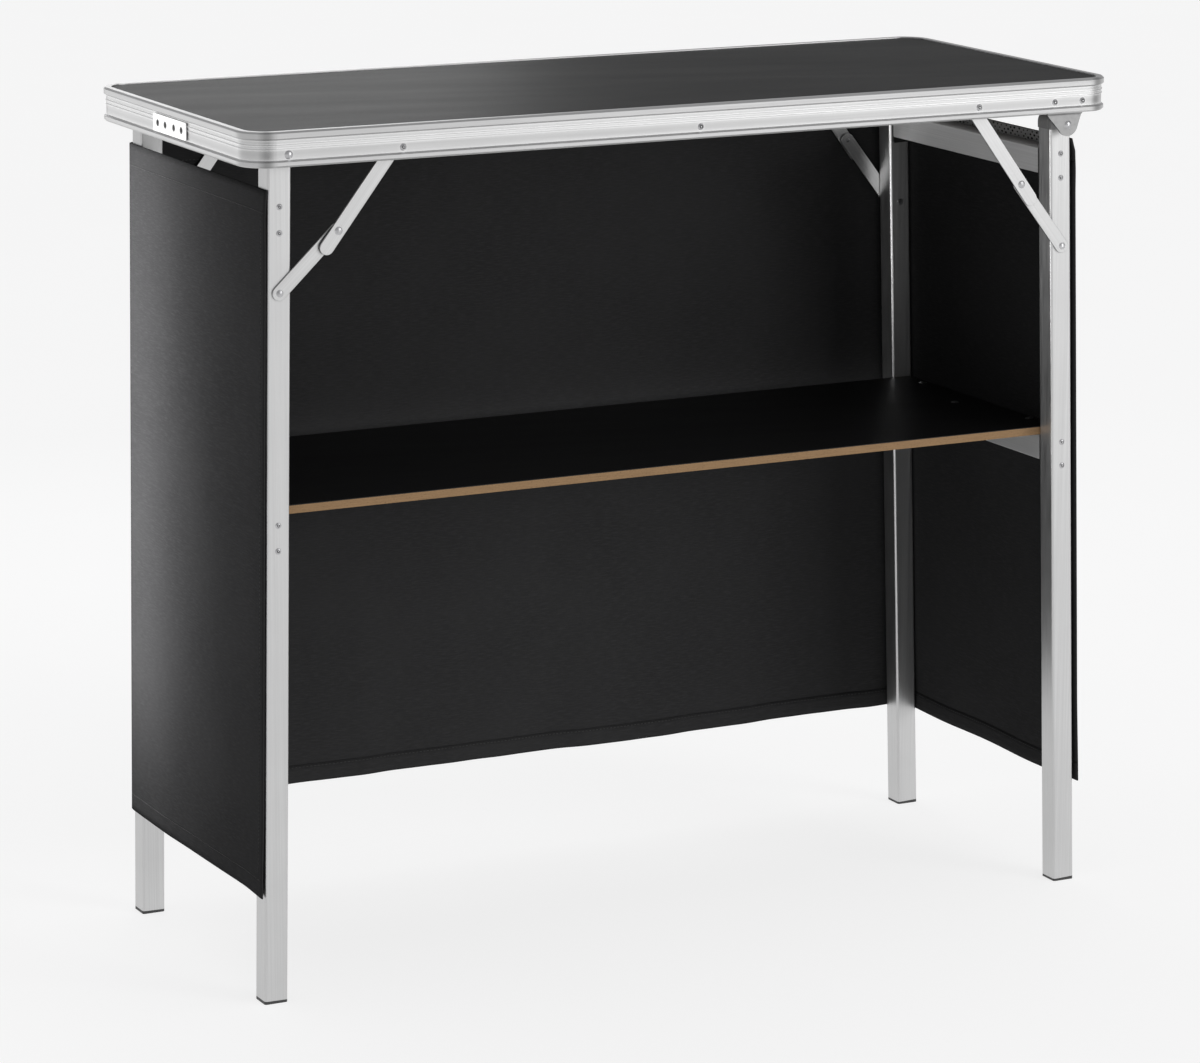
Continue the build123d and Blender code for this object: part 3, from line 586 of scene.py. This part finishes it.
def stitch_mesh(starts_ends, outs):
    """Points and faces of sewn stitches: each one dips into the cloth at its two ends."""
    points, faces = [], []
    for (start, end), out in zip(starts_ends, outs):
        start, end, out = Vector(start), Vector(end), Vector(out)
        across = (end - start).cross(out).normalized()
        base = len(points)
        for share, height in STITCH_ARCH:
            middle = start.lerp(end, share) + out * height * THREAD
            wide = THREAD * (0.45 if share in (0.0, 1.0) else 1.0)
            points += [middle + way * wide for way in (across, out, -across, -out)]
        for ring in range(4):
            for k in range(4):
                a, b = base + 4 * ring + k, base + 4 * ring + (k + 1) % 4
                faces.append((a, b, b + 4, a + 4))
        faces += [tuple(base + k for k in (3, 2, 1, 0)), tuple(base + 16 + k for k in range(4))]
    return points, faces


SEAM_OUT, SEAM_IN = 0.45 * MM, -1.0 * MM


def seam(name, spots):
    """Stitches along a line of (run, down) spots, on the cloth's outer side and on its inner one."""
    ends, outs = [], []
    for (run_a, down_a), (run_b, down_b) in zip(spots, spots[1:]):
        length = hypot(run_b - run_a, down_b - down_a)
        count = int(length / STITCH_PITCH)
        for k in range(count):
            for out, way in ((SEAM_OUT, 1.0), (SEAM_IN, -1.0)):
                pair = []
                for at in (k * STITCH_PITCH, k * STITCH_PITCH + STITCH_LENGTH):
                    t = at / length
                    spot = (run_a + (run_b - run_a) * t, down_a + (down_b - down_a) * t)
                    pair.append(cloth_point(*spot, out))
                middle_run = run_a + (run_b - run_a) * (k + 0.5) / count
                out_x, out_y = skirt_plan(middle_run, down_a / SKIRT_DROP)[2:]
                ends.append(pair)
                outs.append((out_x * way, out_y * way, 0.0))
    return piece(name, *stitch_mesh(ends, outs), look["thread"])


TOP_HEM, LOW_HEM, FRONT_HEM, SEAM_INSET, SEAM_END = 25 * MM, 20 * MM, 12 * MM, 2.5 * MM, 3 * MM
HEM_OUT = -(CLOTH_THICKNESS + HEM_THICKNESS) / 2
cloth = look["skirt_cloth"]
skirt = cloth_strip("skirt", (0, ROUND), (0, SKIRT_DROP), 0.0, CLOTH_THICKNESS, cloth)
long_hems = {"skirt_top_hem": (0, TOP_HEM), "skirt_low_hem": (SKIRT_DROP - LOW_HEM, SKIRT_DROP)}
hems = [
    cloth_strip(name, (0, ROUND), downs, HEM_OUT, HEM_THICKNESS, cloth) for name, downs in long_hems.items()
]
for side, runs in (("left", (0, FRONT_HEM)), ("right", (ROUND - FRONT_HEM, ROUND))):
    downs = (TOP_HEM + MM, SKIRT_DROP - LOW_HEM - MM)
    hems.append(cloth_strip(f"skirt_front_hem_{side}", runs, downs, HEM_OUT, HEM_THICKNESS, cloth))
corner_runs = [SIDE_RUN + ARC_RUN * k / 4 for k in range(5)]
bends = [SEAM_END, *corner_runs, *(ROUND - run for run in reversed(corner_runs)), ROUND - SEAM_END]
for name, down in (
    ("skirt_top_seam", TOP_HEM - SEAM_INSET),
    ("skirt_low_seam", SKIRT_DROP - LOW_HEM + SEAM_INSET),
):
    hems.append(seam(name, [(run, down) for run in bends]))
for side, run in (("left", FRONT_HEM - SEAM_INSET), ("right", ROUND - FRONT_HEM + SEAM_INSET)):
    hems.append(seam(f"skirt_front_seam_{side}", [(run, TOP_HEM), (run, SKIRT_DROP - LOW_HEM)]))

# Loop tape inside each end panel, which holds onto the hook tape of the rail.
tape_low, tape_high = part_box("left_hook_tape")
TAPE_OUT, TAPE_THICKNESS = HEM_OUT - HEM_THICKNESS / 2 - 0.3 * MM, 0.5 * MM
TAPE_DEEP = SKIRT_TOP - tape_low.z + 2 * MM
DOT_ALONG, DOT_DOWN = 4.4 * MM, 3.6 * MM                   # from one dot to the next
DOT_WIDE, DOT_HIGH, DOT_RISE = 1.7 * MM, 1.1 * MM, 0.35 * MM
DOT_CORNERS = 8


def tape_dots(name, runs):
    """Rows of dark loop tufts on the inner side of the tape."""
    points, faces = [], []
    columns = int((runs[1] - runs[0] - 4 * MM) / DOT_ALONG)
    for row in range(int((TAPE_DEEP - 3 * MM) / DOT_DOWN)):
        for column in range(row % 2, columns, 2):
            run = runs[0] + 3 * MM + column * DOT_ALONG + 0.8 * MM * sin(7.3 * column + 2.1 * row)
            down = 2.5 * MM + row * DOT_DOWN + 0.4 * MM * sin(5.1 * column + 1.7 * row)
            size = 1 + 0.25 * sin(3.7 * column + 4.3 * row)
            base = len(points)
            for ring, deep in ((1.0, 0.0), (0.6, DOT_RISE)):
                for k in range(DOT_CORNERS):
                    a = 2 * pi * k / DOT_CORNERS
                    out = TAPE_OUT - TAPE_THICKNESS / 2 - deep
                    spot = (run + DOT_WIDE * size * ring * cos(a), down + DOT_HIGH * size * ring * sin(a))
                    points.append(cloth_point(*spot, out))
            near = [base + k for k in range(DOT_CORNERS)]
            far = [base + DOT_CORNERS + k for k in range(DOT_CORNERS)]
            faces += [(near[k - 1], near[k], far[k], far[k - 1]) for k in range(DOT_CORNERS)]
            faces += [far, near[::-1]]
    return piece(name, points, faces, look["tufts"])


for side, runs in (
    ("left", (tape_low.y - FRONT_Y, tape_high.y - FRONT_Y)),
    ("right", (ROUND - (tape_high.y - FRONT_Y), ROUND - (tape_low.y - FRONT_Y))),
):
    downs = (0.5 * MM, TAPE_DEEP)
    strip = cloth_strip(f"{side}_loop_tape", runs, downs, TAPE_OUT, TAPE_THICKNESS, look["loop_tape"])
    hems += [strip, tape_dots(f"{side}_loop_tufts", runs)]

belongs(skirt, "skirt_cloth", "skirt_left", "skirt_back", "skirt_right")
for made in hems:
    belongs(made, "hook_tape" if "loop" in made.name else "skirt_cloth")

# ---- webbing tabs ------------------------------------------------------------
TAB_THICKNESS, TAB_COLUMNS = 1.1 * MM, 12
TAB_SEWN, TAB_LEAN = 32 * MM, 15 * MM      # the length on the cloth, and the rise of the slant above it
BOX_SIDE, BOX_LOW, BOX_HIGH = 5 * MM, 4 * MM, 24 * MM      # the sewn box, from the tab's sides and end


def softened(points):
    """The same run of (y, z) points with its corners cut smooth."""
    for _ in range(3):
        cut = [points[0]]
        for (y0, z0), (y1, z1) in zip(points, points[1:]):
            cut += [(s * y0 + (1 - s) * y1, s * z0 + (1 - s) * z1) for s in (0.75, 0.25)]
        points = [*cut, points[-1]]
    return points


def tab(number, low, high):
    """One flat webbing strap from inside the rim down to the back panel, sewn to it with a crossed box."""
    near, far = low.y + SOLID_WALL / 2 + 0.4 * MM, high.y - SOLID_WALL / 2
    turn = low.z + TAB_SEWN
    bends = [(near, low.z), (near, turn - 9 * MM), (near, turn), (far, turn + TAB_LEAN), (far, high.z)]
    run = softened(bends)
    wide = high.x - low.x - 1 * MM
    points = []
    for y, z in run:
        for column in range(TAB_COLUMNS + 1):
            u = 2 * column / TAB_COLUMNS - 1
            x = (low.x + high.x) / 2 + u * wide / 2
            selvedge = 0.25 * MM * smooth(abs(u), 0.78, 0.92)
            ease = 0.35 * MM * sin(2.2 * u + number) * smooth(z, turn, turn + 12 * MM)
            points.append((x, y + ease - selvedge, z))
    made = piece(f"skirt_tab_{number}", points, grid_faces(len(run) - 1, TAB_COLUMNS), look["webbing"])
    thicken(made, TAB_THICKNESS)
    belongs(made, "webbing", "skirt_tabs")
    face = near + TAB_THICKNESS / 2 + 0.1 * MM
    x0, x1, z0, z1 = low.x + BOX_SIDE, high.x - BOX_SIDE, low.z + BOX_LOW, low.z + BOX_HIGH
    corners = [Vector((x, face, z)) for x, z in ((x0, z0), (x1, z0), (x1, z1), (x0, z1))]
    lines = [*((corners[i], corners[(i + 1) % 4]) for i in range(4)), corners[::2], corners[1::2]]
    ends = []
    for start, end in lines:
        reach = (end - start).length
        for k in range(int(reach / STITCH_PITCH)):
            at = (k * STITCH_PITCH, k * STITCH_PITCH + STITCH_LENGTH)
            ends.append([start.lerp(end, t / reach) for t in at])
    stitches = stitch_mesh(ends, [(0, 1, 0)] * len(ends))
    sewn = piece(f"skirt_tab_{number}_stitches", *stitches, look["tab_thread"])
    belongs(sewn, "webbing")


for number, (low, high) in enumerate(tab_boxes, 1):
    tab(number, low, high)

# ---- rivet details -----------------------------------------------------------
PIN_CORNERS, PIN_HEIGHT, PLATE_PIN_HEIGHT, PIN_SUNK = 20, 0.22 * MM, 0.2 * MM, 0.1 * MM
# A pin's section from its edge to its dished middle, in radii and heights.
PIN_SECTION = ((1.0, 0.0), (0.97, 0.6), (0.8, 1.0), (0.45, 0.15), (0.2, 0.05))


def pins(name, centres, out, radius, height, body):
    """The dished end of a blind rivet's broken-off pin, in the middle of each head."""
    points, faces = [], []
    out = Vector(out)
    across = out.cross(Vector((0, 0, 1))).normalized()
    upward = across.cross(out)
    for centre in centres:
        base = len(points)
        for share, rise in PIN_SECTION:
            for k in range(PIN_CORNERS):
                a = 2 * pi * k / PIN_CORNERS
                ring = (across * cos(a) + upward * sin(a)) * radius * share
                points.append(Vector(centre) + ring + out * rise * height)
        points.append(Vector(centre))
        middle = len(points) - 1
        for ring in range(len(PIN_SECTION) - 1):
            for k in range(PIN_CORNERS):
                a, b = base + PIN_CORNERS * ring + k, base + PIN_CORNERS * ring + (k + 1) % PIN_CORNERS
                faces.append((a, b, b + PIN_CORNERS, a + PIN_CORNERS))
        last = base + PIN_CORNERS * (len(PIN_SECTION) - 1)
        faces += [(last + k, last + (k + 1) % PIN_CORNERS, middle) for k in range(PIN_CORNERS)]
        faces.append(tuple(base + PIN_CORNERS - 1 - k for k in range(PIN_CORNERS)))
    made = piece(name, points, faces, look["mandrel"])
    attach(made, body)


def mandrels(node, body, radius):
    """Pins in the heads of a node's rivets, which lie along Y: one piece in front and one behind."""
    for end, way in (("front", -1.0), ("rear", 1.0)):
        centres = []
        for low, high in islands(node):
            if (low.y + high.y) * way > 0:
                face = (high if way > 0 else low).y - way * PIN_SUNK
                centres.append(((low.x + high.x) / 2, face, (low.z + high.z) / 2))
        pins(f"{node}_pins_{end}", centres, (0, way, 0), radius, PIN_HEIGHT, body)


mandrels("rim_rivets", "table_top", 1.9 * MM)
mandrels("brace_rim_rivets", "table_top", 1.7 * MM)
for side in ("left", "right"):
    mandrels(f"{side}_rail_rivets", f"{side}_legs", 1.5 * MM)
plate_heads = [
    (low.x + PIN_SUNK, (low.y + high.y) / 2, (low.z + high.z) / 2)
    for low, high in islands("rim_joint_rivets")
]
pins("rim_joint_rivet_pins", plate_heads, (-1, 0, 0), 2.0 * MM, PLATE_PIN_HEIGHT, "table_top")

# ---- floor and lights --------------------------------------------------------
FLOOR_REACH, FLOOR_GLOW = 30.0, 0.76
WORLD_COLOUR, WORLD_STRENGTH = (0.92, 0.92, 0.93, 1.0), 0.52


def floor_material():
    """Pale matt studio floor that glows a little, so that it stays nearly white."""
    g = Graph("floor")
    tint = g.noise(3.0, detail=4.0)
    colour = g.mix(tint, (0.29, 0.29, 0.29), (0.31, 0.31, 0.31))
    return g.finish(base_color=colour, roughness=0.9, specular_ior_level=0.1,
                    emission_color=(1.0, 1.0, 1.0, 1.0), emission_strength=FLOOR_GLOW)


floor_corners = [(x * FLOOR_REACH, y * FLOOR_REACH, 0) for x, y in ((-1, -1), (1, -1), (1, 1), (-1, 1))]
floor = piece("floor", floor_corners, [(0, 1, 2, 3)], floor_material())

world = bpy.data.worlds.new("studio")
world.use_nodes = True
backdrop = world.node_tree.nodes["Background"]
backdrop.inputs["Color"].default_value = WORLD_COLOUR
backdrop.inputs["Strength"].default_value = WORLD_STRENGTH
bpy.context.scene.world = world
bpy.context.scene.view_settings.view_transform = "Standard"


def softbox(name, place, target, width, height, power):
    """A flat lamp, in metres and watts, that the camera doesn't see."""
    data = bpy.data.lights.new(name, "AREA")
    data.shape = "RECTANGLE"
    data.size, data.size_y, data.energy = width, height, power
    lamp = bpy.data.objects.new(name, data)
    lamp.location = place
    lamp.rotation_mode = "QUATERNION"
    lamp.rotation_quaternion = (Vector(target) - Vector(place)).to_track_quat("-Z", "Y")
    lamp.visible_camera = False
    bpy.context.scene.collection.objects.link(lamp)
    return lamp


def light_only(lamp, *lit):
    """Keeps a lamp's light to the objects given."""
    group = bpy.data.collections.new("lit_by_" + lamp.name)
    for made in lit:
        group.objects.link(made)
    lamp.light_linking.receiver_collection = group


softbox("key", (3.9, -5.4, 2.3), (0.0, 0.0, 0.5), 2.7, 2.7, 106.0)
softbox("top_reflection", (0.25, 2.2, 1.45), (-0.3, 0.0, 0.88), 1.3, 0.6, 4.8)
cloth_fill = softbox("cloth_fill", (1.2, -3.0, 1.0), (-0.2, 0.15, 0.7), 0.8, 0.8, 32.0)
light_only(cloth_fill, skirt, *hems)
cloth_glow = softbox("cloth_glow", (-0.62, 0.17, 0.56), (-0.47, 0.17, 0.56), 0.05, 0.72, 4.4)
light_only(cloth_glow, skirt, *hems)
rim_glow = softbox("rim_glow", (-1.25, 1.55, 0.50), (-0.495, 0.0, 0.87), 0.8, 0.8, 1.4)
light_only(rim_glow, nodes["top_rim"], nodes["rim_joint_plate"])
rail_glow = softbox("rail_glow", (-0.05, -0.02, 0.66), (0.45, 0.06, 0.74), 0.16, 0.5, 1.5)
inner_faces = ("right_leg_front", "right_leg_rear", "right_top_rail", "right_shelf_rail",
               "right_lower_link_rear", "right_upper_link_rear")
light_only(rail_glow, *[nodes[node] for node in inner_faces])
leg_glow = softbox("leg_glow", (0.43, -0.14, 0.64), (0.455, 0.13, 0.64), 0.05, 0.4, 0.08)
light_only(leg_glow, nodes["right_leg_rear"])
